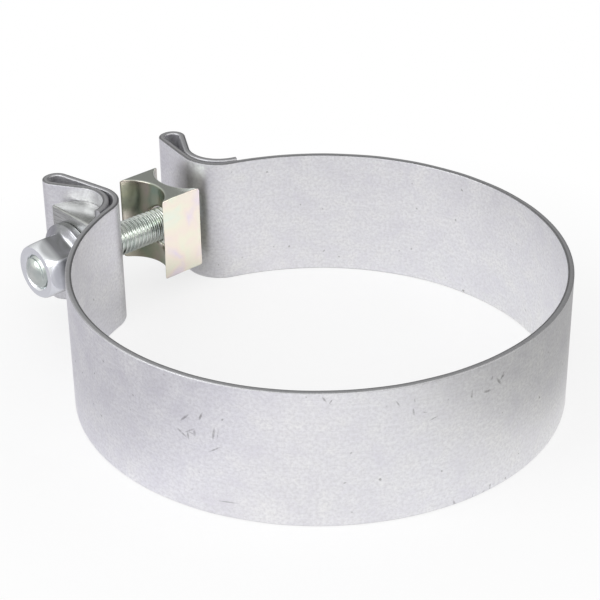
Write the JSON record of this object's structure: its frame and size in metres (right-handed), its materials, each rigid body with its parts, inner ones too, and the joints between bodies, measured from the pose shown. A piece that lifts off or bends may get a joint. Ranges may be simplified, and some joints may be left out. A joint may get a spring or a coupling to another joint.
{
  "type": "exhaust clamp",
  "caption": "Flat band clamp for a lap joint in an exhaust pipe, with folded lugs, half-round saddles, a waisted reaction block, a bolt and a lock nut.",
  "frame": {"origin": "on the axis of the ring, at the middle of the band's width", "axes": "+Z along the pipe, +Y through the middle of the gap between the lugs, +X along the bolt towards its head"},
  "size_m": [0.1114, 0.1329, 0.0318],
  "materials": {
    "aluminised_strip": "satin aluminised steel",
    "saddle_steel": "plain zinc plate",
    "yellow_zinc": "yellow chromated zinc plate",
    "bolt_zinc": "zinc plate",
    "nut_zinc": "bright zinc plate"
  },
  "bodies": {
    "clamp": {"band": "aluminised_strip", "nut_saddle": "saddle_steel", "head_saddle": "saddle_steel", "bolt": "bolt_zinc"},
    "block": {"reaction_block": "yellow_zinc"},
    "nut": {"lock_nut": "nut_zinc"}
  },
  "joints": [
    {"name": "nut_spin", "type": "hinge", "parent": "clamp", "child": "nut", "pos_m": [-0.0287, 0.06126, 0.001], "axis": [-1, 0, 0], "continuous": true},
    {"name": "block_slide", "type": "slide", "parent": "clamp", "child": "block", "axis": [1, 0, 0], "range_m": [-0.0121, 0.0029]}
  ]
}
